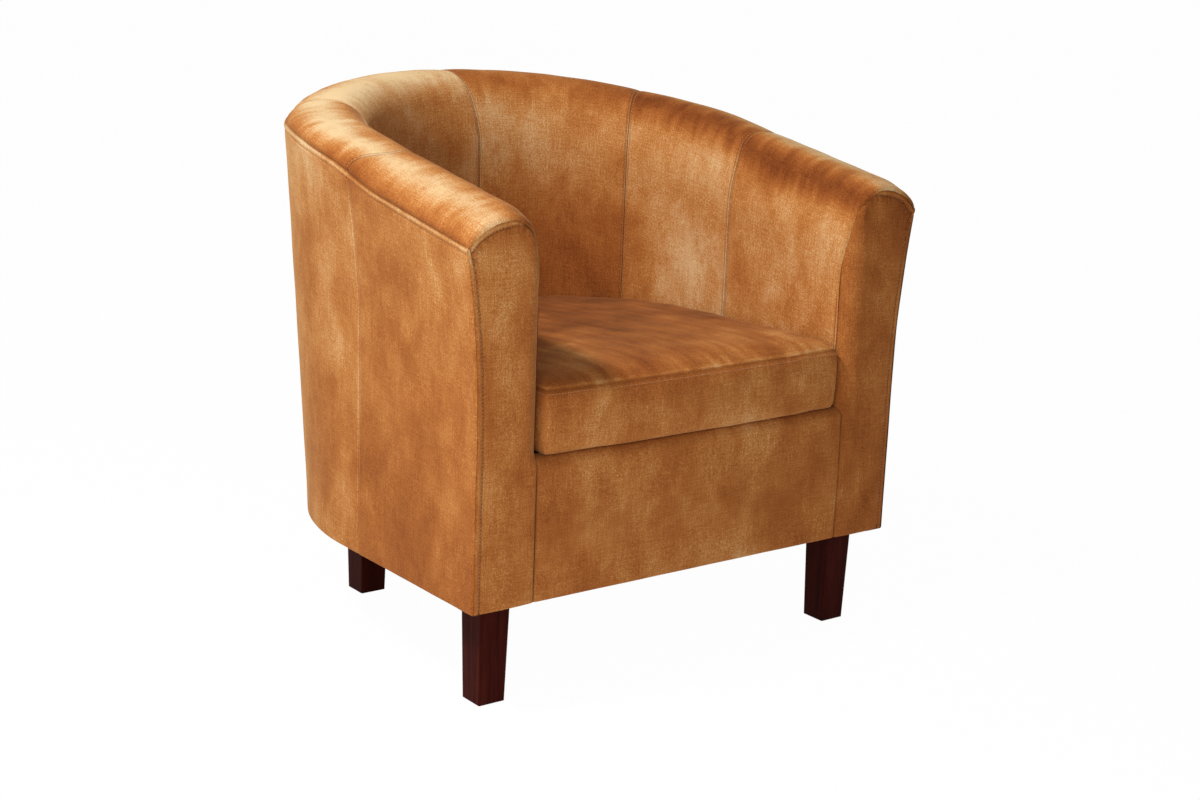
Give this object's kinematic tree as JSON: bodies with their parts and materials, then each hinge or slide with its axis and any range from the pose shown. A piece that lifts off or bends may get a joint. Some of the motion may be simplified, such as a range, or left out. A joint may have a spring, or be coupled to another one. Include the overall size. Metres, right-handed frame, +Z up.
{
  "type": "upholstered tub chair",
  "caption": "Velvet tub chair: wall of one sweep with a rolled rim that climbs to the back, loose box cushion in the seat, dark tapered square legs.",
  "frame": {"origin": "on the floor, under the middle of the chair's box", "axes": "+Z up, +X to the right of someone standing in front, the chair's front faces -Y"},
  "size_m": [0.72, 0.676, 0.7129],
  "materials": {
    "velvet": "golden brown pile, soft sheen",
    "leg_wood": "dark stain, satin lacquer",
    "frame_wood": "planed softwood and plywood",
    "board": "bare hardboard",
    "foam": "cut polyurethane foam",
    "felt": "needled felt",
    "lining": "black spun-bond cloth",
    "webbing": "woven elastic",
    "spring_steel": "oiled wire",
    "zinc_steel": "zinc plated",
    "glide_plastic": "moulded"
  },
  "bodies": {
    "tub": {"apron_cover": "velvet", "apron_padding": "foam", "arm_facing_left": "velvet", "arm_facing_right": "velvet", "arm_foam_left": "foam", "arm_foam_right": "foam", "arm_post_left": "frame_wood", "arm_post_right": "frame_wood", "back_foam": "foam", "base_back_hoop": "frame_wood", "base_side_rail_left": "frame_wood", "base_side_rail_right": "frame_wood", "block_screws": "zinc_steel", "corner_blocks": "frame_wood", "deck_cloth": "lining", "deck_pad": "felt", "dust_cover": "lining", "front_board": "frame_wood", "inside_arm_cover_left": "velvet", "inside_arm_cover_right": "velvet", "inside_back_cover_left": "velvet", "inside_back_cover_right": "velvet", "inside_corner_cover_left": "velvet", "inside_corner_cover_right": "velvet", "leg_bolts": "zinc_steel", "leg_front_left": "leg_wood", "leg_front_right": "leg_wood", "leg_glides": "glide_plastic", "leg_rear_left": "leg_wood", "leg_rear_right": "leg_wood", "leg_tee_nuts": "zinc_steel", "outside_arm_board_left": "board", "outside_arm_board_right": "board", "outside_arm_cover_left": "velvet", "outside_arm_cover_right": "velvet", "outside_back_board": "board", "outside_back_cover": "velvet", "post_left": "frame_wood", "post_rear": "frame_wood", "post_rear_left": "frame_wood", "post_rear_right": "frame_wood", "post_right": "frame_wood", "rim_rail_arm_left": "frame_wood", "rim_rail_arm_right": "frame_wood", "rim_rail_back": "frame_wood", "seat_back_hoop": "frame_wood", "seat_rear_rail": "frame_wood", "seat_side_rail_left": "frame_wood", "seat_side_rail_right": "frame_wood", "seat_springs": "spring_steel", "spring_clips": "zinc_steel", "wall_straps": "webbing"},
    "cushion": {"cushion_base_panel": "lining", "cushion_boxing": "velvet", "cushion_core": "foam", "cushion_top_panel": "velvet"}
  },
  "joints": [
    {"name": "cushion_lift", "type": "slide", "parent": "tub", "child": "cushion", "axis": [0, 0, 1], "range_m": [0, 0.45]}
  ]
}
